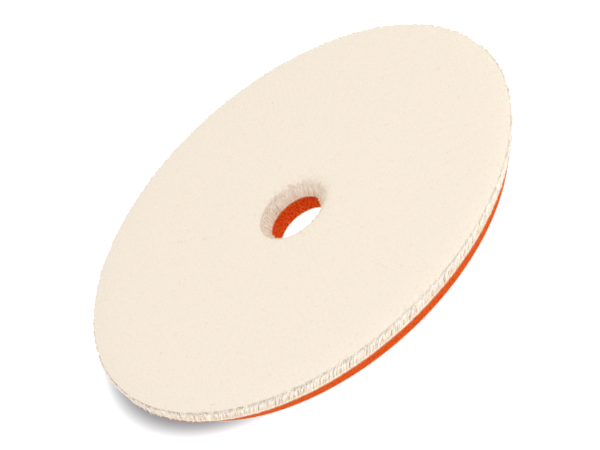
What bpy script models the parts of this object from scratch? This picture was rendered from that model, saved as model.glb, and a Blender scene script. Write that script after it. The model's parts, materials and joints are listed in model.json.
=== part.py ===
"""Cropped-wool polishing pad on a foam interlayer, for a 150 mm hook-and-loop backing plate.

The pad is a bonded stack of rings about the Z axis, all pierced by one centre hole. From the
backing plate up: brushed loops, the tricot cloth they are knitted into, a glue film, the foam
interlayer, a second glue film, the knitted cloth of the fleece, and its cropped pile.
The loop side lies on z = 0 and the pile faces +Z. The foam's rim leans outwards, from the loop
disc to the wider face, and the pile splays past the cloth at the rim and round the hole.

Where the polisher presses the pad, the foam gives: the three layers above it slide towards the
loop side as one, so they hang from an empty of their own on the pad's axis.
"""

import math

import bmesh
import bpy

# Diameters
LOOP_DIAMETER = 0.1500  # the disc that sticks to the backing plate
FACE_DIAMETER = 0.1582  # the cut edge of the fleece and of the foam's side under it
HOLE_DIAMETER = 0.0200  # the centring hole through every layer

# Thicknesses, from the backing plate up
LOOP_NAP_HEIGHT = 0.0008
LOOP_CLOTH_THICKNESS = 0.0003
GLUE_THICKNESS = 0.00015
FOAM_THICKNESS = 0.0052
FLEECE_CLOTH_THICKNESS = 0.0007
PILE_LENGTH = 0.0054

# How the pile opens out beyond the cloth, and how its tips are rounded off
RIM_SPLAY = 0.0036
RIM_SHOULDER_WIDTH = 0.0024
RIM_SHOULDER_HEIGHT = 0.0015
HOLE_SPLAY = 0.0022
HOLE_SHOULDER_WIDTH = 0.0030
HOLE_SHOULDER_HEIGHT = 0.0020

# Layers that touch on the real pad stay this far apart, so that no two solids share volume.
LAYER_GAP = 0.0001

SEGMENTS = 96  # sides of each turned ring
SHOULDER_STEPS = 4  # chords in each rounded edge of the pile
WELD = 0.00001  # points of a turned ring closer than this are one point
SHARP_ANGLE = math.radians(30)  # edges that turn by more than this stay crisp

LOOP_RADIUS = LOOP_DIAMETER / 2
FACE_RADIUS = FACE_DIAMETER / 2
HOLE_RADIUS = HOLE_DIAMETER / 2


def remove_all_objects():
    """Empties the scene."""
    for old in list(bpy.data.objects):
        bpy.data.objects.remove(old)


def material(name, colour, roughness):
    """A Principled BSDF of one colour, for fibre, foam or glue: none of them is metal."""
    made = bpy.data.materials.new(name)
    made.use_nodes = True
    shader = made.node_tree.nodes["Principled BSDF"]
    shader.inputs["Base Color"].default_value = (*colour, 1.0)
    shader.inputs["Roughness"].default_value = roughness
    shader.inputs["Metallic"].default_value = 0.0
    made.diffuse_color = (*colour, 1.0)
    return made


def empty(name, height, parent=None):
    """An empty on the pad's axis, at this height above its parent."""
    made = bpy.data.objects.new(name, None)
    made.empty_display_size = HOLE_RADIUS
    made.location.z = height
    made.parent = parent
    bpy.context.scene.collection.objects.link(made)
    return made


def turned_ring(name, outline, height, parent, finish):
    """Turns a closed outline of (radius, z) points once round the Z axis, into one solid."""
    solid = bmesh.new()
    corners = [solid.verts.new((radius, 0.0, z)) for radius, z in outline]
    edges = [solid.edges.new((corners[i - 1], corners[i])) for i in range(len(corners))]
    bmesh.ops.spin(
        solid,
        geom=corners + edges,
        cent=(0.0, 0.0, 0.0),
        axis=(0.0, 0.0, 1.0),
        angle=math.tau,
        steps=SEGMENTS,
    )
    bmesh.ops.remove_doubles(solid, verts=solid.verts, dist=WELD)
    bmesh.ops.recalc_face_normals(solid, faces=solid.faces)
    mesh = bpy.data.meshes.new(name)
    solid.to_mesh(mesh)
    solid.free()
    mesh.materials.append(finish)
    mesh.shade_smooth()
    mesh.set_sharp_from_angle(angle=SHARP_ANGLE)
    ring = bpy.data.objects.new(name, mesh)
    ring.location.z = height
    ring.parent = parent
    bpy.context.scene.collection.objects.link(ring)


def flat_layer(bottom_radius, top_radius, thickness):
    """The outline of a flat ring whose rim leans from one radius to another."""
    return [
        (top_radius, thickness),
        (bottom_radius, 0.0),
        (HOLE_RADIUS, 0.0),
        (HOLE_RADIUS, thickness),
    ]


def rounded_edge(centre_radius, centre_z, width, height, start):
    """Points along a quarter of an ellipse that turns clockwise from this angle."""
    points = []
    for step in range(SHOULDER_STEPS + 1):
        angle = start - math.pi / 2 * step / SHOULDER_STEPS
        radius = centre_radius + width * math.cos(angle)
        points.append((radius, centre_z + height * math.sin(angle)))
    return points


def pile_layer():
    """The pile's outline: it splays from its root, at the rim and at the hole, to rounded tips."""
    rim = rounded_edge(
        FACE_RADIUS + RIM_SPLAY - RIM_SHOULDER_WIDTH,
        PILE_LENGTH - RIM_SHOULDER_HEIGHT,
        RIM_SHOULDER_WIDTH,
        RIM_SHOULDER_HEIGHT,
        start=math.pi / 2,
    )
    hole = rounded_edge(
        HOLE_RADIUS + HOLE_SPLAY + HOLE_SHOULDER_WIDTH,
        PILE_LENGTH - HOLE_SHOULDER_HEIGHT,
        HOLE_SHOULDER_WIDTH,
        HOLE_SHOULDER_HEIGHT,
        start=math.pi,
    )
    return [*rim, (FACE_RADIUS, 0.0), (HOLE_RADIUS, 0.0), *hole]


def stack(layers, height, parent):
    """Lays these layers on each other, each one gap above the last, and gives the height reached."""
    for name, outline, thickness, finish in layers:
        turned_ring(name, outline, height, parent, finish)
        height += thickness + LAYER_GAP
    return height


def build_pad():
    """Builds the backing, from the loops to the foam, and the face that is pressed down on it."""
    white = material("loop_white", (0.80, 0.80, 0.79), 0.9)
    glue = material("glue", (0.78, 0.74, 0.66), 0.35)
    orange = material("foam_orange", (0.83, 0.15, 0.02), 0.85)
    knit = material("fleece_knit", (0.84, 0.78, 0.70), 0.9)
    wool = material("wool", (0.88, 0.80, 0.68), 0.95)

    nap = flat_layer(LOOP_RADIUS, LOOP_RADIUS, LOOP_NAP_HEIGHT)
    loop_cloth = flat_layer(LOOP_RADIUS, LOOP_RADIUS, LOOP_CLOTH_THICKNESS)
    rear_glue = flat_layer(LOOP_RADIUS, LOOP_RADIUS, GLUE_THICKNESS)
    foam = flat_layer(LOOP_RADIUS, FACE_RADIUS, FOAM_THICKNESS)
    front_glue = flat_layer(FACE_RADIUS, FACE_RADIUS, GLUE_THICKNESS)
    fleece_cloth = flat_layer(FACE_RADIUS, FACE_RADIUS, FLEECE_CLOTH_THICKNESS)

    pad = empty("polishing_pad", 0.0)
    backing = (
        ("loop_nap", nap, LOOP_NAP_HEIGHT, white),
        ("loop_cloth", loop_cloth, LOOP_CLOTH_THICKNESS, white),
        ("rear_glue_film", rear_glue, GLUE_THICKNESS, glue),
        ("foam_interlayer", foam, FOAM_THICKNESS, orange),
    )
    face_height = stack(backing, 0.0, pad)

    pressed_face = empty("pressed_face", face_height, pad)
    face = (
        ("front_glue_film", front_glue, GLUE_THICKNESS, glue),
        ("fleece_cloth", fleece_cloth, FLEECE_CLOTH_THICKNESS, knit),
        ("wool_pile", pile_layer(), PILE_LENGTH, wool),
    )
    stack(face, 0.0, pressed_face)


remove_all_objects()
build_pad()
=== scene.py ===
# %% [markdown]
# # A wool-faced polishing pad
#
# A polishing pad for car paint is a round sandwich. Cream wool, cropped short, is knitted into a
# ground cloth. The cloth is bonded to a ring of orange foam, and the foam to a nylon loop cloth that
# clings to the hooks of the machine's backing plate. A round knife cuts the whole stack, so each
# layer shows its cut edge at the rim and in the centre hole.
#
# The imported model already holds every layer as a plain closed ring, in metres and in its right
# place. It is opened first, because every size below is measured on it and not typed in again.

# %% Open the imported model
import json
import math

import bpy
import numpy as np
from mathutils import Matrix, Vector


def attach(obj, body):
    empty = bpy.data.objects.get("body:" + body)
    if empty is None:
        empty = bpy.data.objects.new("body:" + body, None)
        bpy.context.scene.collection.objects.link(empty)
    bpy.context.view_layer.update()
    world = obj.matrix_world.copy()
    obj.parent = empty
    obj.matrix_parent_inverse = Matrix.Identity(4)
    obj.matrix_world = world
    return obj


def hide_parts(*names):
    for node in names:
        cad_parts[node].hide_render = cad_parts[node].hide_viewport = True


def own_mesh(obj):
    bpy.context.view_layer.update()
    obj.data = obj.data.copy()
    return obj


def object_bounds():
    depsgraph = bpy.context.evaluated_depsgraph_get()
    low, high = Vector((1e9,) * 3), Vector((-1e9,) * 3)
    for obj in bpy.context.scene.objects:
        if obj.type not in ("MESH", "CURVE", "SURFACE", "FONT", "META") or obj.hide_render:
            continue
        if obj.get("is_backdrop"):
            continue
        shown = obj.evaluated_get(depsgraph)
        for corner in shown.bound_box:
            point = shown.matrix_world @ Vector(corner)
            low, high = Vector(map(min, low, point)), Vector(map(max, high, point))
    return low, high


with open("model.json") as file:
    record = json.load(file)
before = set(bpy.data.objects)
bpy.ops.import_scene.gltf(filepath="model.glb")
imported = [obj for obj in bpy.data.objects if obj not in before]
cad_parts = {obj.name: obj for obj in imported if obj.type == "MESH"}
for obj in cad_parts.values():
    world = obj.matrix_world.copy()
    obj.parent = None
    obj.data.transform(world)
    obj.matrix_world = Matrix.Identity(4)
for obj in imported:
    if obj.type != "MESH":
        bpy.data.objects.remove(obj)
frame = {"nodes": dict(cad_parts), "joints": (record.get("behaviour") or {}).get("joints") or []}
cad_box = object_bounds()
print("CAD box:", cad_box)

# %% [markdown]
# ## Measuring the layers
#
# A layer is a ring about the Z axis, so four numbers describe it: the radius of its hole, the radius
# of its rim, and the heights of its two faces. The foam's rim leans, so its radius is also asked for
# at one height. Millimetres are easier to think in, so small sizes are written as a number times MM.

# %% Measure the layers
MM = 0.001


def ring_points(node):
    """Radius and height of every corner of a turned node, as two arrays."""
    mesh = frame["nodes"][node].data
    points = np.empty(len(mesh.vertices) * 3)
    mesh.vertices.foreach_get("co", points)
    points = points.reshape(-1, 3)
    return np.hypot(points[:, 0], points[:, 1]), points[:, 2]


def ring_heights(node):
    """The heights of a turned node's lower and upper faces."""
    _, height = ring_points(node)
    return height.min(), height.max()


def rim_radius(node, height):
    """The largest radius of a turned node at this height, within a hundredth of a millimetre."""
    radius, z = ring_points(node)
    return radius[np.abs(z - height) < 0.01 * MM].max()


cloth_low, cloth_high = ring_heights("fleece_cloth")
pile_low, pile_high = ring_heights("wool_pile")
foam_low, foam_high = ring_heights("foam_interlayer")
nap_low, nap_high = ring_heights("loop_nap")
tricot_low, tricot_high = ring_heights("loop_cloth")
FACE = rim_radius("fleece_cloth", cloth_low)
BACK = rim_radius("loop_cloth", tricot_low)
HOLE = ring_points("fleece_cloth")[0].min()
print(f"face {FACE:.4f}, back {BACK:.4f}, hole {HOLE:.4f}, pile from {pile_low:.4f} to {pile_high:.4f}")

# %% [markdown]
# ## Camera
#
# The pad lies on its loop side and is seen from 34 degrees above the table, through a long lens that
# hardly shrinks its far side. The camera is rolled, so the picture's upright isn't the pad's. It is
# described as a photographer would set it up: how high it looks from, how far it is turned about its
# own axis, how far away it is, and which point lies in the middle of the picture.

# %% Camera
CAMERA_ELEVATION = math.radians(34.1)
CAMERA_ROLL = math.radians(-41.27)
CAMERA_DISTANCE = 0.610
CAMERA_LENS = 111.33
CAMERA_AIM = Vector((-0.45 * MM, 2.27 * MM, 3.35 * MM))


def place_camera():
    """Camera axes: back = away from the aim, level = +X, top = back x level, then rolled about back."""
    back = Vector((0.0, -math.cos(CAMERA_ELEVATION), math.sin(CAMERA_ELEVATION)))
    level = Vector((1.0, 0.0, 0.0))
    turn = Matrix.Rotation(CAMERA_ROLL, 3, back)
    right = turn @ level
    top = turn @ back.cross(level)
    axes = Matrix((right, top, back)).transposed().to_4x4()
    lens = bpy.data.cameras.new("camera")
    lens.lens = CAMERA_LENS
    camera = bpy.data.objects.new("camera", lens)
    camera.matrix_world = Matrix.Translation(CAMERA_AIM + back * CAMERA_DISTANCE) @ axes
    bpy.context.scene.collection.objects.link(camera)
    bpy.context.scene.camera = camera


place_camera()
print("camera at", tuple(round(value, 3) for value in bpy.context.scene.camera.location))

# %% [markdown]
# ## Shader maths in Python
#
# A procedural material is a small sum: a ripple of noise here, a tint there. Typed as nodes it is
# long, so one class wraps a node's output and lets Python's own operators add the Math nodes. The
# reflected forms let a plain number stand first, as in 1 - mask.

# %% Shader maths


class Wire:
    """An output of a node that can be used in sums, such as wire * 2 or 1 - wire."""

    def __init__(self, finish, socket):
        self.finish = finish
        self.socket = socket

    def sum(self, operation, first, second):
        """A Math node that does this operation on two values or wires."""
        return self.finish.node("ShaderNodeMath", {"operation": operation}, {0: first, 1: second})

    def __add__(self, other):
        return self.sum("ADD", self, other)

    def __sub__(self, other):
        return self.sum("SUBTRACT", self, other)

    def __rsub__(self, other):
        return self.sum("SUBTRACT", other, self)

    def __mul__(self, other):
        return self.sum("MULTIPLY", self, other)

    __radd__ = __add__
    __rmul__ = __mul__


# %% [markdown]
# ## One finish
#
# A finish here is a material with its Principled BSDF. What is the same all over a piece is given
# when it is made, and is set on the shader's own sockets. What varies is fed to a socket as a wire. A
# bump is the height of a pattern turned into a tilt of the surface.

# %% One finish


class Finish:
    """A procedural material: a Principled BSDF, and a method that adds any node to it."""

    def __init__(self, name, **constants):
        self.material = bpy.data.materials.new(name)
        self.material.use_nodes = True
        self.tree = self.material.node_tree
        self.shader = self.tree.nodes["Principled BSDF"]
        for socket, value in constants.items():
            self.shader.inputs[socket.replace("_", " ")].default_value = value

    def node(self, kind, settings, sockets, output=0):
        """Adds a node of this type: its settings first, then its sockets' values or wires."""
        node = self.tree.nodes.new(kind)
        for name, value in settings.items():
            setattr(node, name, value)
        for name, value in sockets.items():
            self.feed(node.inputs[name], value)
        return Wire(self, node.outputs[output])

    def feed(self, socket, value):
        """Links a wire to a socket, or sets the socket's own value."""
        if isinstance(value, Wire):
            self.tree.links.new(value.socket, socket)
        else:
            socket.default_value = value

    def blend(self, factor, first, second):
        """A colour that goes from the first to the second as the factor goes from 0 to 1."""
        return self.node(
            "ShaderNodeMix", {"data_type": "RGBA"}, {0: factor, 6: first, 7: second}, output=2
        )

    def grain(self, scale, detail=2.0, stretch=(1.0, 1.0, 1.0)):
        """Noise from 0 to 1 that is fixed to the piece; the scale is in grains for each metre."""
        place = self.node("ShaderNodeTexCoord", {}, {}, output="Object")
        place = self.node("ShaderNodeVectorMath", {"operation": "MULTIPLY"}, {0: place, 1: stretch})
        sockets = {"Vector": place, "Scale": scale, "Detail": detail}
        return self.node("ShaderNodeTexNoise", {}, sockets, output="Fac")

    def colour(self, wire):
        """Gives the surface this colour."""
        self.feed(self.shader.inputs["Base Color"], wire)

    def bump(self, height, strength, depth):
        """Tilts the surface as if it rose by the height, from 0 to 1, times this depth."""
        sockets = {"Strength": strength, "Distance": depth, "Height": height}
        self.feed(self.shader.inputs["Normal"], self.node("ShaderNodeBump", {}, sockets))


def ramp(wire, low, high):
    """A wire that rises smoothly from 0 to 1 as the given one goes from low to high."""
    sockets = {"Value": wire, "From Min": low, "From Max": high}
    return wire.finish.node("ShaderNodeMapRange", {"interpolation_type": "SMOOTHSTEP"}, sockets)


# %% [markdown]
# ## Putting arrays into meshes
#
# Every surface below is worked out as whole numpy arrays. Points and faces go into a mesh in one
# call each, which is hundreds of times faster than adding them one by one. A value for each point
# can be stored beside them, for a finish to read.

# %% Arrays into meshes


def new_piece(name, points, quads, triangles, finish):
    """A mesh object of these points, four-cornered faces and three-cornered faces."""
    corners = np.concatenate([quads.ravel(), triangles.ravel()])
    quad_starts = np.arange(len(quads)) * 4
    triangle_starts = quads.size + np.arange(len(triangles)) * 3
    mesh = bpy.data.meshes.new(name)
    mesh.vertices.add(len(points))
    mesh.vertices.foreach_set("co", points.astype(np.float32).ravel())
    mesh.loops.add(len(corners))
    mesh.loops.foreach_set("vertex_index", corners.astype(np.int32))
    mesh.polygons.add(len(quads) + len(triangles))
    starts = np.concatenate([quad_starts, triangle_starts])
    mesh.polygons.foreach_set("loop_start", starts.astype(np.int32))
    mesh.update(calc_edges=True)
    mesh.shade_smooth()
    mesh.materials.append(finish.material)
    piece = bpy.data.objects.new(name, mesh)
    bpy.context.scene.collection.objects.link(piece)
    faces = 2 * len(quads) + len(triangles)
    print(f"{name}: {len(points)} points, {faces} triangles")
    return piece


def store_on_points(piece, name, values):
    """Keeps one number for each point of the piece under this name."""
    stored = piece.data.attributes.new(name, "FLOAT", "POINT")
    stored.data.foreach_set("value", values.astype(np.float32).ravel())


# %% [markdown]
# ## Closed skins
#
# The skin of a ring is a grid of points that closes on itself both ways, round the pad and round the
# ring's outline, so its faces follow from the grid's size alone. A closed skin holds a positive
# volume when its faces point outwards. So the volume says whether they have to be turned over, and
# an outline may be given either way round.

# %% Closed skins
NO_FACES = np.empty((0, 3), dtype=int)


def volume_sign(points, quads):
    """Above 0 if a closed skin's faces point outwards: the sum of a . (b x c) over its faces."""
    a, b, c, d = (points[quads[:, corner]] for corner in range(4))
    halves = np.einsum("ij,ij->i", a, np.cross(b, c)) + np.einsum("ij,ij->i", a, np.cross(c, d))
    return halves.sum()


def closed_grid(name, grid, finish):
    """A skin from a (rows, columns, 3) grid whose last row joins the first, and column likewise."""
    rows, columns = grid.shape[:2]
    number = np.arange(rows * columns).reshape(rows, columns)
    across = np.roll(number, -1, axis=1)
    along = np.roll(number, -1, axis=0)
    both = np.roll(along, -1, axis=1)
    quads = np.stack([number, across, both, along], axis=-1).reshape(-1, 4)
    points = grid.reshape(-1, 3)
    if volume_sign(points, quads) < 0:
        quads = quads[:, ::-1]
    return new_piece(name, points, quads, NO_FACES, finish)


def turns(count):
    """This many angles, evenly round a full turn."""
    return np.arange(count) * math.tau / count


def from_polar(radius, angle, height):
    """Points in space from radius, angle about Z, and height."""
    radius, angle, height = np.broadcast_arrays(radius, angle, height)
    return np.stack([radius * np.cos(angle), radius * np.sin(angle), height], axis=-1)


# %% [markdown]
# ## Unevenness
#
# Nothing on a soft pad is quite regular. A slow unevenness comes from a few sine waves laid across
# each other in random directions. It has no grid of its own that could show, and it can be asked
# for at any point. Every random choice comes from a numbered generator, so the pad is the same one
# each time.

# %% Unevenness


def ripple(x, y, wavelength, seed):
    """About -1 to 1: the mean of six sine waves near this length, in random directions."""
    chance = np.random.default_rng(seed)
    total = np.zeros(np.shape(x))
    waves = 6
    gain = 1.6  # six waves seldom crest together
    for _ in range(waves):
        heading, phase = chance.uniform(0.0, math.tau, 2)
        pace = math.tau / (wavelength * chance.uniform(0.7, 1.4))
        total += np.sin(pace * (x * math.cos(heading) + y * math.sin(heading)) + phase)
    return total * gain / waves


sample = ripple(np.linspace(0.0, BACK, 500), 0.0, wavelength=2.0 * MM, seed=0)
print(f"a ripple from {sample.min():.2f} to {sample.max():.2f}")

# %% [markdown]
# ## How the wool stands
#
# On a real pad each tuft grows straight out of the ground cloth and then leans. Three things lean
# it. The nap lies over to one side, as it was brushed. At the cut rim nothing holds the outermost
# tufts in, so they fan out past the cloth where the nap helps them, and stand nearly upright where
# it pushes them back. Round the hole they fan away from it, more on the side that the brushing drew
# back. All the wool below follows one rule, so that the deep mass, the face, the rim and the hole
# fit each other: from a root on the cloth and a share of the way up, it gives a place.

# %% How the wool stands
NAP = 3.0 * MM  # how far the tips lie over, away from the edges
NAP_HEADING = math.radians(-4)
RIM_SPLAY = 1.9 * MM  # how far the rim's tips fan out
RIM_SWAY = 1.8 * MM  # by how much more or less that is, on this side or across from it
SWAY_HEADING = math.radians(34)
RIM_REACH = 2.6 * MM  # how far in from the rim the fan is felt
RIM_DROP = 1.5 * MM  # the rim's tips end this much lower
HOLE_SPLAY = 2.6 * MM  # the same three for the hole
HOLE_REACH = 2.2 * MM
HOLE_DROP = 2.4 * MM
PULL_HEADING = math.radians(-90)  # on this side the wool is drawn back from the hole
PULL_SPLAY = (0.5, 1.0)  # the share of HOLE_SPLAY found all round, and what a full pull adds
PULL_REACH = (0.6, 0.7)
PULL_DROP = (0.7, 0.5)
HOLE_NAP = 0.3  # the share of the nap that the hole's own tufts still follow sideways
LEAN_POWER = 1.3  # above 1 a tuft stands up from its root before it leans
DROP_POWER = 1.6
TIP_SPARE = 0.1 * MM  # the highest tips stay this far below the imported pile's top
RISE = pile_high - pile_low - TIP_SPARE


def rim_fan(angle):
    """How far the rim's tips fan out: splay + sway * cosine of the angle to the sway's heading."""
    return RIM_SPLAY + RIM_SWAY * np.cos(SWAY_HEADING - angle)


def with_pull(shares, angle):
    """The first share, plus the second where the brushing drew the wool back from the hole.

    From there the second fades round the hole as (1 + cosine of the angle to PULL_HEADING) / 2.
    """
    return shares[0] + shares[1] * (0.5 + 0.5 * np.cos(PULL_HEADING - angle))


def wool_at(root, angle, share, lean=1.0):
    """Where the wool that is rooted at this radius and angle is, at this share of its rise.

    Sideways it moves by the nap in the open, by the fan at the rim and by the fan at the hole. Each
    edge's part fades as exp(-distance / reach), and all grow as a power of the share. Upwards it
    moves in step with the share, less the drop of the tips near an edge. Where the wool is drawn
    back from the hole, the hole's fan is wider, reaches further and drops more.
    """
    at_rim = np.exp(-(FACE - root) / RIM_REACH)
    at_hole = np.exp(-(root - HOLE) / (HOLE_REACH * with_pull(PULL_REACH, angle)))
    open_face = np.clip(1.0 - at_rim - at_hole, 0.0, 1.0)
    outwards = NAP * np.cos(NAP_HEADING - angle)
    sideways = NAP * np.sin(NAP_HEADING - angle)
    hole_fan = HOLE_SPLAY * with_pull(PULL_SPLAY, angle)
    radial = open_face * outwards + at_rim * rim_fan(angle) + at_hole * hole_fan
    around = (open_face + at_rim + HOLE_NAP * at_hole) * sideways
    bend = lean * share**LEAN_POWER
    hole_drop = HOLE_DROP * with_pull(PULL_DROP, angle)
    rise = RISE - RIM_DROP * at_rim - hole_drop * at_hole**DROP_POWER
    place = from_polar(root + radial * bend, angle, pile_low + rise * share)
    return place + from_polar(around * bend, angle + math.pi / 2, 0.0)


print(f"the rim fans out from {rim_fan(SWAY_HEADING + math.pi):.4f} to {rim_fan(SWAY_HEADING):.4f}")

# %% [markdown]
# ## The depth of the pile
#
# Between the tufts the eye sees deeper wool, tanner than the tips because light has bounced about
# in it; that tan is painted on as shade. Thousands of roots would be wasted there. One closed skin
# stands for that depth: it follows the wool's rule a little inside both edges and stops just short of
# the tips.

# %% The depth of the pile
DEEP_SHARE = 0.965  # how far up the dense wool reaches in the open
EDGE_SHARE = 0.93  # and at the edges
DEEP_INSET = 0.20 * MM  # how far inside the edges it stays
DEEP_TURNS = 768
WALL_STEPS = 10  # rows of points up each cut edge
ACROSS_STEPS = 44  # and from the rim to the hole
MOUND_LENGTH = 2.2 * MM  # the skin's own unevenness
MOUND_HEIGHT = 0.08 * MM


def deep_wool_finish():
    """Painted shade, tan at the root and cream near the tips, mottled in patches the size of a tuft."""
    finish = Finish("deep_wool", Roughness=0.95, Specular_IOR_Level=0.1, Sheen_Weight=0.1)
    share = finish.node("ShaderNodeAttribute", {"attribute_name": "share"}, {}, output="Fac")
    tufts = finish.grain(900.0, 3.0)
    height = ramp(share + 0.5 * (tufts - 0.5), 0.1, 0.9)
    # painted shade: the colour goes from tan deep down to cream near the tips
    finish.colour(finish.blend(height, (0.86, 0.73, 0.58, 1.0), (0.90, 0.81, 0.69, 1.0)))
    finish.bump(finish.grain(4000.0), strength=0.4, depth=0.15 * MM)
    return finish


def make_deep_wool():
    """Rows run up the rim, in over the top, down the hole and back along the cloth.

    Across the top they lie closer near both edges, as the cosine of an even half turn does. The
    share goes from DEEP_SHARE in the open to EDGE_SHARE as exp(-distance / reach) from each edge.
    """
    rim, hole = FACE - DEEP_INSET, HOLE + DEEP_INSET
    across = rim + (hole - rim) * (0.5 - 0.5 * np.cos(np.linspace(0.0, math.pi, ACROSS_STEPS)))
    edge = np.exp(-(rim - across) / RIM_REACH) + np.exp(-(across - hole) / HOLE_REACH)
    top = DEEP_SHARE + (EDGE_SHARE - DEEP_SHARE) * edge
    up = np.linspace(0.0, EDGE_SHARE, WALL_STEPS, endpoint=False)
    back = across[-2:0:-4]  # every fourth row is enough for the hidden underside
    root = np.concatenate([np.full(WALL_STEPS, rim), across, np.full(WALL_STEPS, hole), back])
    share = np.concatenate([up, top, up[::-1], 0 * back])
    root, share = root[:, None], share[:, None]
    angle = turns(DEEP_TURNS)[None, :]
    grid = wool_at(root, angle, share)
    mound = ripple(grid[..., 0], grid[..., 1], MOUND_LENGTH, seed=1)
    grid[..., 2] += MOUND_HEIGHT * mound * share
    skin = closed_grid("wool_depth", grid, deep_wool_finish())
    store_on_points(skin, "share", np.broadcast_to(share, grid.shape[:2]))
    return skin


wool_depth = make_deep_wool()

# %% [markdown]
# ## Locks of wool
#
# Wool fibres are far too fine and too many to model one by one. They cling together in little locks
# a few tenths of a millimetre thick, and those can be modelled. A lock is a three-sided tube that
# tapers to a point along a short spine. One function makes thousands of them at once: the rings of
# all the locks are one array, and so are their faces.

# %% Tubes along spines
SIDES = 3


def unit(vectors):
    """The same directions at length 1."""
    return vectors / np.linalg.norm(vectors, axis=-1, keepdims=True)


def lock_rings(spines, thickness, chance):
    """Rings about the first spine points, one for each thickness, as (locks, rings, sides, 3).

    Each ring point is its spine point + thickness / 2 * (cos a * one + sin a * two), where one and
    two are at right angles to the lock and to each other, and a steps round in thirds of a turn.
    """
    heading = unit(spines[:, -1] - spines[:, 0])
    one = unit(np.cross(heading, chance.normal(size=heading.shape)))
    two = np.cross(heading, one)
    angle = turns(SIDES)
    circle = one[:, None] * np.cos(angle)[:, None] + two[:, None] * np.sin(angle)[:, None]
    middles = spines[:, : thickness.shape[1], None]
    return middles + thickness[..., None, None] / 2 * circle[:, None]


def tube_faces(count, rings, pitch):
    """Corner numbers of the sides of many tubes, as (tubes, rings - 1, sides, 4).

    Pitch is how many points one tube has, with those of its tip.
    """
    side = np.arange(SIDES)
    following = (side + 1) % SIDES
    ring = np.arange(rings - 1)[:, None] * SIDES
    above = ring + SIDES
    quads = np.stack([ring + side, ring + following, above + following, above + side], axis=-1)
    return np.arange(count)[:, None, None, None] * pitch + quads


# %% [markdown]
# ## A colour map for locks
#
# Each lock also brings a place on a colour map. Across the map runs the lock's tone, and up the map
# runs the way from root to tip. So one finish can paint shade along every lock, tan towards the root,
# and give each lock its own tone, with no image needed.

# %% A colour map for locks
TONE_STEP = 0.003  # width of one side of a lock on its colour map
TONE_RANGE = 1.0 - 2 * SIDES * TONE_STEP  # what is left for the tones themselves
ROOT_HEIGHT = 0.02  # the root's own face covers this much of the way up


def lay_colour_map(piece, tone, rings, count):
    """Across the map: the lock's tone, one step wider for each side. Up the map: root to tip."""
    side = np.arange(SIDES)
    across = np.stack([side, side + 1, side + 1, side], axis=-1) * TONE_STEP
    across = tone[:, None, None, None] * TONE_RANGE + across
    across = np.broadcast_to(across, (count, rings - 1, SIDES, 4))
    low = np.arange(rings - 1) / rings
    up = np.stack([low, low, low + 1 / rings, low + 1 / rings], axis=-1)[:, None]
    up = np.broadcast_to(up, (count, rings - 1, SIDES, 4))
    quad_map = np.stack([across, up], axis=-1).reshape(-1, 2)
    tip_across = np.stack([side, side + 1, side + 0.5], axis=-1) * TONE_STEP
    root_across = np.array([[0.0, 1.0, 0.5]]) * TONE_STEP
    tip_up = np.broadcast_to([(rings - 1) / rings, (rings - 1) / rings, 1.0], (SIDES, 3))
    root_up = np.array([[0.0, 0.0, ROOT_HEIGHT]])
    end_across = tone[:, None, None] * TONE_RANGE
    end_across = end_across + np.concatenate([tip_across, root_across])
    end_up = np.broadcast_to(np.concatenate([tip_up, root_up]), end_across.shape)
    end_map = np.stack([end_across, end_up], axis=-1).reshape(-1, 2)
    places = np.concatenate([quad_map, end_map]).astype(np.float32)
    colour_map = piece.data.uv_layers.new(name="OFBake")
    colour_map.uv.foreach_set("vector", places.ravel())


def make_locks(name, spines, thickness, tone, finish, seed):
    """Pointed locks: spines is (locks, points, 3), the last point being the tip.

    thickness is (locks, points - 1) and tone is one number from 0 to 1 for each lock.
    """
    chance = np.random.default_rng(seed)
    count, rings = spines.shape[0], spines.shape[1] - 1
    body = lock_rings(spines, thickness, chance).reshape(count, rings * SIDES, 3)
    points = np.concatenate([body, spines[:, -1:]], axis=1)
    pitch = points.shape[1]
    quads = tube_faces(count, rings, pitch).reshape(-1, 4)
    side = np.arange(SIDES)
    last = (rings - 1) * SIDES
    tip = np.stack([last + side, last + (side + 1) % SIDES, np.full(SIDES, pitch - 1)], axis=-1)
    root = side[::-1][None]
    closing = np.concatenate([tip, root])
    triangles = (np.arange(count)[:, None, None] * pitch + closing).reshape(-1, 3)
    piece = new_piece(name, points.reshape(-1, 3), quads, triangles, finish)
    piece.data.shade_flat()
    lay_colour_map(piece, tone, rings, count)
    return piece


# %% [markdown]
# ## The finish of the wool
#
# Cropped wool is pale at its tips, where the light falls. It is tanner towards the root, where light
# only comes after it has bounced from fibre to fibre, and that tan is painted on as shade. No two
# locks have quite the same tone, so the colour goes two ways: by the tone of the lock, and by the
# height along it.

# %% The finish of the wool


def wool_finish():
    """Painted shade, tan at the root and cream at the tip; locks of a high tone are paler and less
    yellow.
    """
    finish = Finish(
        "cropped_wool",
        Roughness=0.9,
        Specular_IOR_Level=0.15,
        Sheen_Weight=0.15,
        Sheen_Roughness=0.6,
    )
    place = finish.node("ShaderNodeUVMap", {"uv_map": "OFBake"}, {})
    split = finish.node("ShaderNodeSeparateXYZ", {}, {"Vector": place})
    tone = split
    along = Wire(finish, split.socket.node.outputs["Y"])
    root = finish.blend(tone, (0.88, 0.71, 0.53, 1.0), (0.93, 0.82, 0.69, 1.0))
    tip = finish.blend(tone, (0.95, 0.87, 0.76, 1.0), (0.98, 0.94, 0.88, 1.0))
    # painted shade: each lock goes from tan at the root to cream at the tip
    finish.colour(finish.blend(ramp(along, 0.0, 0.7), root, tip))
    return finish


cropped_wool = wool_finish()
print(len(cropped_wool.tree.nodes), "nodes make the finish", cropped_wool.material.name)

# %% [markdown]
# ## Where the tufts are
#
# A machine knits the tufts into the ground cloth in staggered courses, about one and a quarter
# millimetres apart, and the knife cuts the cloth through wherever it comes. So the tufts' roots are a
# staggered lattice, shaken a little, and cropped to the ring.

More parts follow.
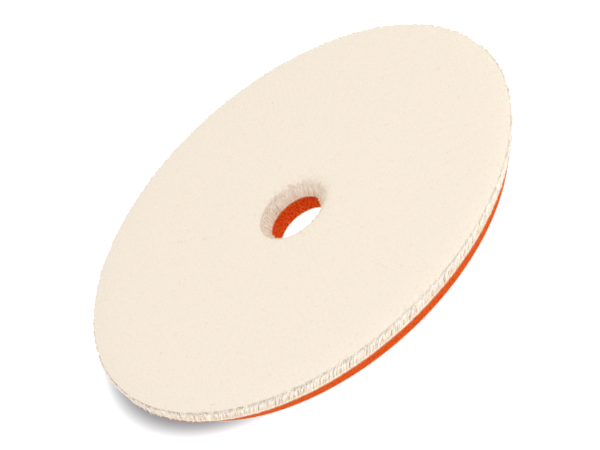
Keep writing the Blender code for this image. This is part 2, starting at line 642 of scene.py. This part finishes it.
# %% Where the tufts are
TUFT_PITCH = 1.25 * MM
COURSE_PITCH = 1.08 * MM
ROOT_SHAKE = 0.16 * MM
RIM_MARGIN = 0.1 * MM  # roots nearer to the knife's cut than this are lost
HOLE_MARGIN = 0.2 * MM


def tuft_roots(seed):
    """Radius and angle of every tuft's root: a staggered, shaken lattice inside the ring."""
    chance = np.random.default_rng(seed)
    half = int(FACE / COURSE_PITCH) + 2
    course, place = np.meshgrid(np.arange(-half, half), np.arange(-half, half))
    x = (place + 0.5 * (course % 2)) * TUFT_PITCH + chance.normal(0.0, ROOT_SHAKE, place.shape)
    y = course * COURSE_PITCH + chance.normal(0.0, ROOT_SHAKE, place.shape)
    radius = np.hypot(x, y).ravel()
    angle = np.arctan2(y, x).ravel()
    inside = (radius > HOLE + HOLE_MARGIN) & (radius < FACE - RIM_MARGIN)
    return radius[inside], angle[inside]


roots, bearings = tuft_roots(seed=2)
print(f"{len(roots)} tufts")

# %% [markdown]
# ## From a tuft to its locks
#
# Each root becomes a handful of locks that start close together, end a little apart, and all lean the
# way the tuft leans. Cropped wool is even but never quite: tufts differ a little in their lean, and
# locks in their length. Each of these chances is small, because together they make the face rough.

# %% From a tuft to its locks
LEAN_CHANCE = 0.07  # how much tufts differ in their lean
TUFT_SHIFT = 0.08 * MM  # how far a whole tuft's tips are pushed aside
LOCK_LENGTH_CHANCE = 0.02  # how much locks differ in length
TUFT_LENGTH_CHANCE = 0.01  # and tufts
DOME = 0.02  # by which share a lock far from its tuft's middle is shorter
DOME_END = 1.5  # from this far out, in double spreads, it gets no shorter
TUFT_TONE_CHANCE = 0.10
LOCK_TONE_CHANCE = 0.12


def tuft_locks(radius, angle, locks, shares, root_spread, tip_spread, seed):
    """Spines of every tuft's locks, as (tufts * locks, shares, 3), and each lock's tone.

    A lock's root and tip are off the tuft's middle by random amounts in x and y, and in between it
    goes smoothly from one to the other. Tips far from the middle end lower, so a tuft is a dome.
    """
    chance = np.random.default_rng(seed)
    tufts = len(radius)
    lean = 1.0 + LEAN_CHANCE * chance.normal(size=(tufts, 1, 1))
    shares = np.asarray(shares) * np.ones((tufts, locks, 1))
    spine = wool_at(radius[:, None, None], angle[:, None, None], shares, lean)
    root_off = chance.normal(0.0, root_spread, (tufts, locks, 1, 2))
    tip_off = chance.normal(0.0, tip_spread, (tufts, locks, 1, 2))
    tip_off += chance.normal(0.0, TUFT_SHIFT, (tufts, 1, 1, 2))
    up = shares[..., None] ** 1.5
    spine[..., :2] += root_off * (1 - up) + tip_off * up
    away = np.hypot(tip_off[..., 0], tip_off[..., 1]) / (2 * tip_spread)
    length = LOCK_LENGTH_CHANCE * chance.normal(size=(tufts, locks, 1))
    length = length + TUFT_LENGTH_CHANCE * chance.normal(size=(tufts, 1, 1))
    spine[..., 2] += RISE * shares**2 * (length - DOME * np.minimum(away, DOME_END) ** 2)
    tone = chance.normal(0.0, TUFT_TONE_CHANCE, (tufts, 1))
    tone = tone + chance.normal(0.0, LOCK_TONE_CHANCE, (tufts, locks))
    return spine.reshape(tufts * locks, -1, 3), tone.ravel()


# %% [markdown]
# ## The cropped face
#
# Seen from above, only the last half millimetre or so of a tuft shows. The face's locks are that
# short: they start inside the deep wool and come just out of it. The face is made in six wedges, so
# that no piece grows too heavy.

# %% The cropped face
FACE_LOCKS = 13  # in each tuft
FACE_SHARES = (0.88, 1.0)
FACE_SPREAD = 0.50 * MM  # wide enough for neighbouring tufts to run together
FACE_THICKNESS = 0.34 * MM
FACE_TONE = 0.42
FACE_PALER = 0.3
EDGE_BAND = 3.6 * MM  # tufts closer than this to the rim or hole belong to the cut edges
PALE_BAND = 7.0 * MM  # the wool grows whiter over this last stretch to the rim
WEDGES = 6


def paler_near_rim(radius):
    """0 on the open face to 1 at the rim, where the wool is whiter."""
    return np.clip((radius - (FACE - PALE_BAND)) / PALE_BAND, 0.0, 1.0)


def uneven(thickness, count, chance):
    """These thicknesses for each of the locks, a fifth thinner to a fifth thicker."""
    return np.array(thickness) * chance.uniform(0.8, 1.2, (count, 1))


def make_face():
    """Short locks over the open face, one piece for each wedge."""
    open_face = (roots > HOLE + EDGE_BAND) & (roots < FACE - EDGE_BAND)
    wedge = ((bearings / math.tau) % 1.0 * WEDGES).astype(int)
    pieces = []
    for number in range(WEDGES):
        own = open_face & (wedge == number)
        root, angle = roots[own], bearings[own]
        spines, tone = tuft_locks(
            root, angle, FACE_LOCKS, FACE_SHARES, FACE_SPREAD, FACE_SPREAD, seed=10 + number
        )
        thickness = uneven([FACE_THICKNESS], len(spines), np.random.default_rng(20 + number))
        paler = FACE_PALER * np.repeat(paler_near_rim(root), FACE_LOCKS)
        tone = np.clip(FACE_TONE + tone + paler, 0.0, 1.0)
        name = f"wool_face_{number + 1}"
        pieces.append(make_locks(name, spines, thickness, tone, cropped_wool, seed=30 + number))
    return pieces


wool_face = make_face()

# %% [markdown]
# ## The cut rim and the hole
#
# At the two cut edges the tufts show from root to tip. The outermost ones are made whole, of many
# fine locks, and the rows behind them from halfway up, because only their upper half shows. They hold
# together better than on the face, since nothing has brushed them apart, and that leaves the gaps
# between the tufts that are the mark of a cut edge; their tan is the painted shade of roots and deep
# wool.

# %% The cut rim and the hole
RIM_TUFTS, RIM_LOCKS = 420, 36
HOLE_TUFTS, HOLE_LOCKS = 60, 60
RIM_ROW_LOCKS = 30  # in each tuft of the rows behind
HOLE_ROW_LOCKS = 44
FRINGE_SHAKE = 0.22  # a share of the way to the next tuft
FRINGE_DEPTHS = (-0.12 * MM, 0.35 * MM)  # how far in from the cut edge: some roots stand out
OVERHANG = 0.1 * MM  # the outermost roots hang this far down over the cloth's cut edge
EDGE_TONE = 0.5
EDGE_TONE_GAIN = 1.8  # locks differ more here than on the face
EDGE_PALER = 0.2
WHOLE_SHARES = (0.0, 0.55, 1.0)
WHOLE_THICKNESS = (0.15 * MM, 0.17 * MM)
UPPER_SHARES = (0.6, 1.0)
UPPER_THICKNESS = (0.38 * MM,)


def fringe_tufts(count, seed):
    """How far in from a cut edge each tuft is rooted, and where round it, evenly but for a shake."""
    chance = np.random.default_rng(seed)
    shake = chance.normal(0.0, FRINGE_SHAKE, count) * math.tau / count
    return chance.uniform(*FRINGE_DEPTHS, count), turns(count) + shake


def make_edge(name, radius, angle, locks, shares, thickness, spreads, seed):
    """Locks from the first of these shares up, for tufts along one of the edges.

    The spreads are how far apart a tuft's locks are at the root and at the tip. Towards the root
    the locks hang by OVERHANG * (1 - share) squared.
    """
    spines, tone = tuft_locks(radius, angle, locks, shares, *spreads, seed)
    spines[..., 2] -= OVERHANG * (1.0 - np.array(shares)) ** 2
    thickness = uneven(thickness, len(spines), np.random.default_rng(seed + 1))
    paler = EDGE_PALER * np.repeat(paler_near_rim(radius), locks)
    tone = np.clip(EDGE_TONE + EDGE_TONE_GAIN * tone + paler, 0.0, 1.0)
    return make_locks(name, spines, thickness, tone, cropped_wool, seed + 2)


def make_whole_tufts(name, radius, angle, locks, spreads, seed):
    """Tufts from root to tip, for the outermost row."""
    return make_edge(name, radius, angle, locks, WHOLE_SHARES, WHOLE_THICKNESS, spreads, seed)


def make_upper_tufts(name, rows, locks, spreads, seed):
    """The upper half of the tufts in these rows of the lattice."""
    own = roots[rows], bearings[rows]
    return make_edge(name, *own, locks, UPPER_SHARES, UPPER_THICKNESS, spreads, seed)


wool_edges = []
spreads = (0.26 * MM, 0.26 * MM)
for number in (1, 2):
    inset, angle = fringe_tufts(RIM_TUFTS, seed=39 + number)
    name = f"wool_rim_{number}"
    rim = make_whole_tufts(name, FACE - inset, angle, RIM_LOCKS, spreads, seed=40 * number)
    wool_edges.append(rim)

inset, angle = fringe_tufts(HOLE_TUFTS, seed=51)
spreads = (0.30 * MM, 0.26 * MM)
lip = make_whole_tufts("wool_hole", HOLE + inset, angle, HOLE_LOCKS, spreads, seed=50)
wool_edges.append(lip)

near_rim = roots >= FACE - EDGE_BAND
spreads = (0.36 * MM, 0.36 * MM)
wool_edges.append(make_upper_tufts("wool_rim_rows", near_rim, RIM_ROW_LOCKS, spreads, seed=43))

near_hole = roots <= HOLE + EDGE_BAND
spreads = (0.36 * MM, 0.34 * MM)
wool_edges.append(make_upper_tufts("wool_hole_rows", near_hole, HOLE_ROW_LOCKS, spreads, seed=53))

# %% [markdown]
# ## Open-cell foam
#
# The foam's rim and the wall of its hole were sliced, and a slice through open-cell foam is a field
# of round pores with thin struts between. Each pore is a small bowl at a random place in a square of
# its own, so pores never line up and never leave a bare patch. The bowls are real dents in the mesh.
# How deep a point lies is also stored on the mesh, for a painted shade that darkens the bottom of a
# pore.

# %% Pores
PORE_PITCH = 0.62 * MM
PORE_SIZES = (0.42, 0.68)  # a pore's radius, in squares
PORE_PLACES = (0.15, 0.85)  # where its middle may be in its square


def pore_depth(along, across, length, seed):
    """0 on a strut to 1 at the bottom of a pore, on a strip that closes on itself after length.

    The strip is ruled in squares with one pore centre each. A point's depth is the largest value
    over the nine squares about it of 1 - (distance / pore's radius) squared.
    """
    chance = np.random.default_rng(seed)
    columns = round(length / PORE_PITCH)
    pitch = length / columns
    rows = int(across.max() / pitch) + 3
    off_x, off_y = chance.uniform(*PORE_PLACES, (2, columns, rows))
    size = chance.uniform(*PORE_SIZES, (columns, rows))
    u, v = along / pitch, across / pitch + 1.0
    column, row = np.floor(u).astype(int), np.floor(v).astype(int)
    depth = np.zeros(np.broadcast_shapes(u.shape, v.shape))
    for step_x in (-1, 0, 1):
        for step_y in (-1, 0, 1):
            near_x, near_y = column + step_x, np.clip(row + step_y, 0, rows - 1)
            own = near_x % columns, near_y
            gap_x = u - near_x - off_x[own]
            gap_y = v - near_y - off_y[own]
            depth = np.maximum(depth, 1.0 - (gap_x**2 + gap_y**2) / size[own] ** 2)
    return depth


print(f"about {math.tau * HOLE / PORE_PITCH:.0f} pores lie round the hole in each row")

# %% [markdown]
# ## The foam ring
#
# The ring's outline is followed once round: up the leaning rim, in under the cloth, down the hole
# and back out. Every outline point is turned through the same angles, and the points of the two
# walls are pushed inwards by the depth of the pore they are in.

# %% The foam ring
FOAM_TURNS = 2048
RIM_ROWS = 28
WALL_ROWS = 18
PORE_DENT = 0.42 * MM  # how deep the deepest pore is
DENT_FREE = 0.2 * MM  # pores grow shallow over this last stretch to a bonded face
FOAM_GROWTH = 0.08 * MM  # the foam meets the films it is bonded to


def foam_finish():
    """Orange with painted shade that deepens to red-brown down in the pores, with finer cells as bump.
    """
    finish = Finish("orange_foam", Roughness=0.9, Specular_IOR_Level=0.05)
    depth = finish.node("ShaderNodeAttribute", {"attribute_name": "pore"}, {}, output="Fac")
    dull, bright = (0.70, 0.077, 0.007, 1.0), (0.78, 0.122, 0.013, 1.0)
    skin = finish.blend(finish.grain(260.0), dull, bright)
    # painted shade: the bottom of each pore is a darker red-brown
    finish.colour(finish.blend(ramp(depth, 0.15, 0.9), skin, (0.54, 0.027, 0.006, 1.0)))
    place = finish.node("ShaderNodeTexCoord", {}, {}, output="Object")
    sockets = {"Vector": place, "Scale": 3200.0}
    cells = finish.node("ShaderNodeTexVoronoi", {}, sockets, output="Distance")
    finish.bump(cells, strength=0.6, depth=0.12 * MM)
    return finish


def make_foam():
    """Two pored walls joined by two flat faces that are bonded to their neighbours.

    The rim's radius goes evenly from the back's to the face's. A pore dents the rim at right angles
    to its lean, and the hole's wall straight outwards.
    """
    angle = turns(FOAM_TURNS)[None, :]
    low_rim = rim_radius("foam_interlayer", foam_low)
    high_rim = rim_radius("foam_interlayer", foam_high)
    thick = foam_high - foam_low
    bottom = foam_low - FOAM_GROWTH
    height = foam_high + FOAM_GROWTH - bottom

    up = np.linspace(0.0, 1.0, RIM_ROWS)[:, None]
    slope = math.hypot(high_rim - low_rim, thick)
    lean = math.atan2(high_rim - low_rim, thick)
    rim_depth = pore_depth(angle * FACE, up * slope, math.tau * FACE, seed=60)
    edge = np.minimum(up, 1.0 - up) * slope
    dent = PORE_DENT * rim_depth * np.minimum(1.0, edge / DENT_FREE)
    rim_radii = low_rim + (high_rim - low_rim) * up - dent * math.cos(lean)
    rim_heights = bottom + height * up + dent * math.sin(lean)

    down = np.linspace(1.0, 0.0, WALL_ROWS)[:, None]
    wall_depth = pore_depth(angle * HOLE, down * thick, math.tau * HOLE, seed=61)
    edge = np.minimum(down, 1.0 - down) * thick
    wall_radii = HOLE + PORE_DENT * wall_depth * np.minimum(1.0, edge / DENT_FREE)
    wall_heights = bottom + height * down + 0.0 * angle

    radius = np.concatenate([rim_radii, wall_radii])
    z = np.concatenate([rim_heights, wall_heights])
    foam = closed_grid("foam_ring", from_polar(radius, angle, z), foam_finish())
    store_on_points(foam, "pore", np.concatenate([rim_depth, wall_depth]))
    return foam


foam_ring = make_foam()

# %% [markdown]
# ## The ground cloth of the fleece
#
# The cloth is hidden but for its cut edge: a pale line less than a millimetre high over the orange
# foam, and again round the hole. A cut knit shows the ends of its stitches there as a row of little
# bulges, in two plies. Its flat faces are bonded and never seen, so they stay plain.

# %% The ground cloth
STITCH = 0.85 * MM
STITCH_CHANCE = (0.6, 1.3)  # how much more or less than the others one stitch bulges
FLAT_STEPS = 10  # from the rim to the hole across a flat face


def knit_finish():
    """Off-white yarn with painted shade: a little darker in fine noise patches that stand for the gaps
    between the stitches.
    """
    finish = Finish("ground_cloth", Roughness=0.95, Specular_IOR_Level=0.1, Sheen_Weight=0.2)
    # painted shade between the stitches, laid on as fine noise
    painted_gap_shade = ramp(finish.grain(1500.0, 3.0), 0.25, 0.75)
    finish.colour(finish.blend(painted_gap_shade, (0.80, 0.70, 0.60, 1.0), (0.93, 0.87, 0.80, 1.0)))
    finish.bump(finish.grain(5200.0, stretch=(1.0, 1.0, 3.0)), strength=0.5, depth=0.1 * MM)
    return finish


def stitched_edge(radius, angle, share, bulge, chance):
    """How far a cut edge is pulled in, at these angles and these shares of the cloth's thickness.

    That is bulge * chance * (1 - |sin(pi * step)| * |sin(2 pi * share)|), where step counts the
    stitches round the edge and is half a stitch further on in the upper ply.
    """
    stitches = round(math.tau * radius / STITCH)
    step = angle / math.tau * stitches + 0.5 * (share > 0.5)
    own = chance.uniform(*STITCH_CHANCE, stitches)[np.floor(step).astype(int) % stitches]
    return bulge * own * (1.0 - np.abs(np.sin(math.pi * step)) * np.abs(np.sin(math.tau * share)))


def stitched_ring(name, heights, rim, bulge, columns, rows, finish, seed):
    """A flat ring whose cut edges bulge once for each stitch, as one outline turned round."""
    low, high = heights
    angle = turns(columns)[None, :]
    chance = np.random.default_rng(seed)
    up = np.linspace(0.0, 1.0, rows)[:, None]
    down = up[::-1]
    inwards = np.linspace(0.0, 1.0, FLAT_STEPS)[1:-1, None]
    flat = 0 * inwards + 0 * angle
    radius = [
        rim - stitched_edge(rim, angle, up, bulge, chance),
        rim + (HOLE - rim) * inwards + flat,
        HOLE + stitched_edge(HOLE, angle, down, bulge, chance),
        HOLE + (rim - HOLE) * inwards + flat,
    ]
    height = [
        low + (high - low) * up + 0 * angle,
        high + flat,
        low + (high - low) * down + 0 * angle,
        low + flat,
    ]
    grid = from_polar(np.concatenate(radius), angle, np.concatenate(height))
    return closed_grid(name, grid, finish)


ground_cloth = stitched_ring(
    "ground_cloth",
    (cloth_low, cloth_high),
    rim=FACE,
    bulge=0.16 * MM,
    columns=1600,
    rows=6,
    finish=knit_finish(),
    seed=70,
)

# %% [markdown]
# ## The loop cloth
#
# The back is a fine warp-knitted tricot. Only its cut edge and what shows between the loops is seen,
# so it is a thinner stitched ring, made as the ground cloth is.

# %% The loop cloth


def tricot_finish():
    """White nylon with the narrow wales of a warp knit."""
    finish = Finish("tricot", Roughness=0.7, Specular_IOR_Level=0.3, Sheen_Weight=0.3)
    wales = ramp(finish.grain(900.0, 1.0, stretch=(1.0, 0.15, 1.0)), 0.3, 0.7)
    finish.colour(finish.blend(wales, (0.72, 0.72, 0.71, 1.0), (0.90, 0.90, 0.88, 1.0)))
    return finish


loop_cloth = stitched_ring(
    "tricot_cloth",
    (tricot_low, tricot_high),
    rim=BACK,
    bulge=0.08 * MM,
    columns=1200,
    rows=5,
    finish=tricot_finish(),
    seed=71,
)

# %% [markdown]
# ## The loops
#
# A wire brush has pulled the tricot's yarn up into loops less than a millimetre high, and the hooks
# of the backing plate catch in them. A loop is a half ring of yarn, as a closed three-sided tube,
# that hangs from the cloth and leans a little. The real nap is denser than any mesh should be. So
# most loops are strewn over the back, and a second set fills the edge, where they show side on.

# %% The loops
LOOPS = 7000
EDGE_LOOPS = 3500
EDGE_LOOP_BAND = 2.0 * MM
LOOP_INSET = 0.45 * MM  # how far loops stay inside the cloth's cut edges
LOOP_YARN = 0.12 * MM
LOOP_HALF_WIDTHS = (0.25 * MM, 0.45 * MM)
LOOP_HEIGHTS = (0.7, 1.0)  # as shares of the nap's height
LOOP_LEAN = 0.1 * MM
LOOP_POINTS = 5  # along each loop's spine
DOWN = np.array([0.0, 0.0, -1.0])


def loop_finish():
    """White nylon, with locks of loops a little greyer than others."""
    finish = Finish("loop_yarn", Roughness=0.5, Specular_IOR_Level=0.4, Sheen_Weight=0.2)
    shade = ramp(finish.grain(300.0), 0.2, 0.8)
    finish.colour(finish.blend(shade, (0.82, 0.82, 0.81, 1.0), (0.93, 0.93, 0.92, 1.0)))
    return finish


loop_yarn = loop_finish()


def make_loops(name, count, inner, outer, seed):
    """Half rings: middle + cos(t) * half width along a random heading, - sin(t) * height down.

    They lie anywhere between the two radii, as often for each bit of area.
    """
    chance = np.random.default_rng(seed)
    radius = np.sqrt(chance.uniform(inner**2, outer**2, count))
    angle = chance.uniform(0.0, math.tau, count)
    middle = from_polar(radius, angle, nap_high)
    heading = chance.uniform(0.0, math.tau, count)
    along = from_polar(chance.uniform(*LOOP_HALF_WIDTHS, count), heading, 0.0)
    lean = from_polar(chance.normal(0.0, LOOP_LEAN, count), heading + math.pi / 2, 0.0)
    height = (nap_high - nap_low - LOOP_YARN) * chance.uniform(*LOOP_HEIGHTS, (count, 1))
    drop = DOWN * height
    t = np.linspace(0.0, math.pi, LOOP_POINTS)[None, :, None]
    spines = middle[:, None] + np.cos(t) * along[:, None] + np.sin(t) * (drop + lean)[:, None]
    rings = lock_rings(spines, np.full(spines.shape[:2], LOOP_YARN), chance)
    pitch = rings.shape[1] * SIDES
    quads = tube_faces(count, rings.shape[1], pitch).reshape(-1, 4)
    ends = np.array([[2, 1, 0], [pitch - 3, pitch - 2, pitch - 1]])
    ends = (np.arange(count)[:, None, None] * pitch + ends).reshape(-1, 3)
    return new_piece(name, rings.reshape(-1, 3), quads, ends, loop_yarn)


loops_end = BACK - LOOP_INSET
nylon_loops = make_loops("nylon_loops", LOOPS, HOLE + LOOP_INSET, loops_end, seed=80)
edge_loops = make_loops("edge_loops", EDGE_LOOPS, loops_end - EDGE_LOOP_BAND, loops_end, seed=81)

# %% [markdown]
# ## The glue
#
# Two films of laminating adhesive bond the foam to its neighbours. Their packed rings are right as
# they are, so they only get a finish: amber, paler and duller in streaks.

# %% The glue


def glue_finish():
    """Amber film with a streaky gloss."""
    finish = Finish("laminating_film", Specular_IOR_Level=0.5)
    streaks = finish.grain(400.0, 3.0, stretch=(1.0, 0.3, 1.0))
    finish.colour(finish.blend(streaks, (0.62, 0.16, 0.06, 1.0), (0.85, 0.42, 0.20, 1.0)))
    finish.feed(finish.shader.inputs["Roughness"], 0.3 + 0.3 * streaks)
    return finish


film = glue_finish()
for node in ("front_glue_film", "rear_glue_film"):
    mesh = frame["nodes"][node].data
    mesh.materials.clear()
    mesh.materials.append(film.material)
    print(node, "is finished with", film.material.name)

# %% [markdown]
# ## The table
#
# The pad lies on a bright white table. The table glows, so it stays white wherever the pad shades
# it. Only along one edge of the pad is the glow dimmed to grey, as a painted shadow of the pad. The
# dimmed patch is a crescent, like the moon's: what lies outside one circle and inside another.
#
# Seen from below the table is clear, so that the back of the pad can be looked at too.

# %% The table
TABLE_GAP = 0.3 * MM  # how far below the loops the table is
TABLE_REACH = 3.0  # metres each way
TABLE_GLOW = 1.2
PAINTED_SHADOW_INNER = (66.0 * MM, 75.0 * MM)  # the crescent begins this far from the pad's axis
PAINTED_SHADOW_OUTER = (58.5 * MM, 69.5 * MM)  # and ends this far from a point beside the axis
PAINTED_SHADOW_MIDDLE = (-20.0 * MM, 1.6 * MM, 0.0)


def table_finish():
    """White that glows, dimmed to grey in a crescent beside the pad as a painted shadow; clear seen
    from below.

    The crescent is (how far outside the inner circle) * (1 - how far outside the outer circle).
    """
    finish = Finish(
        "white_table", Roughness=0.8, Specular_IOR_Level=0.1, Emission_Strength=TABLE_GLOW
    )
    finish.shader.inputs["Base Color"].default_value = (0.15, 0.15, 0.15, 1.0)
    place = finish.node("ShaderNodeTexCoord", {}, {}, output="Object")
    distance = {"operation": "DISTANCE"}
    out = finish.node("ShaderNodeVectorMath", distance, {0: place, 1: (0.0, 0.0, 0.0)}, "Value")
    off = finish.node("ShaderNodeVectorMath", distance, {0: place, 1: PAINTED_SHADOW_MIDDLE}, "Value")
    # painted shadow: the crescent where the table's glow is dimmed to grey
    shade = ramp(out, *PAINTED_SHADOW_INNER) * (1.0 - ramp(off, *PAINTED_SHADOW_OUTER))
    glow = finish.blend(shade, (1.0, 1.0, 1.0, 1.0), (0.20, 0.21, 0.22, 1.0))
    finish.feed(finish.shader.inputs["Emission Color"], glow)
    behind = finish.node("ShaderNodeNewGeometry", {}, {}, output="Backfacing")
    clear = finish.node("ShaderNodeBsdfTransparent", {}, {})
    shader = Wire(finish, finish.shader.outputs[0])
    seen = finish.node("ShaderNodeMixShader", {}, {0: behind, 1: shader, 2: clear})
    finish.feed(finish.tree.nodes["Material Output"].inputs["Surface"], seen)
    finish.material.cycles.emission_sampling = "NONE"
    return finish


table_points = np.array([[-1.0, -1.0], [1.0, -1.0], [1.0, 1.0], [-1.0, 1.0]]) * TABLE_REACH
table_points = np.column_stack([table_points, np.full(4, -TABLE_GAP)])
table = new_piece("table", table_points, np.array([[0, 1, 2, 3]]), NO_FACES, table_finish())
table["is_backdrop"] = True

# %% [markdown]
# ## The light
#
# The light is a white room with one large lamp. The lamp stands on the camera's side, so the locks'
# small shadows fall behind them. That keeps the face smooth, and lets streaks show only at the cut
# edges.

# %% The light
LAMP_HEADING = math.radians(-62)
LAMP_ELEVATION = math.radians(42)
LAMP_DISTANCE = 1.2
LAMP_SIZE = 0.7
LAMP_POWER = 3.15
ROOM_LIGHT = 0.90


def place_lamp():
    """A square lamp that faces the pad from its heading and elevation."""
    lamp = bpy.data.lights.new("lamp", "AREA")
    lamp.size = LAMP_SIZE
    lamp.energy = LAMP_POWER
    light = bpy.data.objects.new("lamp", lamp)
    level = math.cos(LAMP_ELEVATION)
    along, across = math.cos(LAMP_HEADING), math.sin(LAMP_HEADING)
    away = Vector((level * along, level * across, math.sin(LAMP_ELEVATION)))
    light.location = away * LAMP_DISTANCE
    light.rotation_euler = away.to_track_quat("Z", "Y").to_euler()
    bpy.context.scene.collection.objects.link(light)
    return light


def light_room():
    """An even white room, and the plain view of colours, which doesn't dim bright cream."""
    room = bpy.data.worlds.new("room")
    room.use_nodes = True
    background = room.node_tree.nodes["Background"]
    background.inputs["Color"].default_value = (1.0, 1.0, 1.0, 1.0)
    background.inputs["Strength"].default_value = ROOM_LIGHT
    bpy.context.scene.world = room
    bpy.context.scene.view_settings.view_transform = "Standard"


lamp = place_lamp()
light_room()
print("lamp at", tuple(round(value, 3) for value in lamp.location))

# %% [markdown]
# ## Which piece belongs to which layer
#
# When the pad is pressed, the wool, its cloth and the film under it sink together, the foam is
# squeezed between its bonded faces, and the loops stay on the backing plate. Here the wool and its
# cloth go with the face, and the foam, the loop cloth and the loops with the backing; the foam is not
# squeezed.

# %% Hand over the pieces
for piece in (wool_depth, *wool_face, *wool_edges):
    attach(piece, "face")
    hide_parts("wool_pile")

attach(ground_cloth, "face")
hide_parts("fleece_cloth")
2 * FACE
2 * FACE
math.pi * (FACE**2 - HOLE**2)

press = next(joint for joint in frame["joints"] if joint["name"] == "face_press")
foam_thickness = foam_high - foam_low
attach(foam_ring, "backing")
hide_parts("foam_interlayer")
keep = 1.0 - press["range_m"][1] / foam_thickness
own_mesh(foam_ring)

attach(loop_cloth, "backing")
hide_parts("loop_cloth")
2 * BACK
2 * BACK
math.pi * (BACK**2 - HOLE**2)
for piece in (nylon_loops, edge_loops):
    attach(piece, "backing")
    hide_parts("loop_nap")

looks_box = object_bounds()
print("looks box:", looks_box)
boxes = {"cad": cad_box, "looks": looks_box}
boxes = {name: [list(corner) for corner in box] for name, box in boxes.items()}
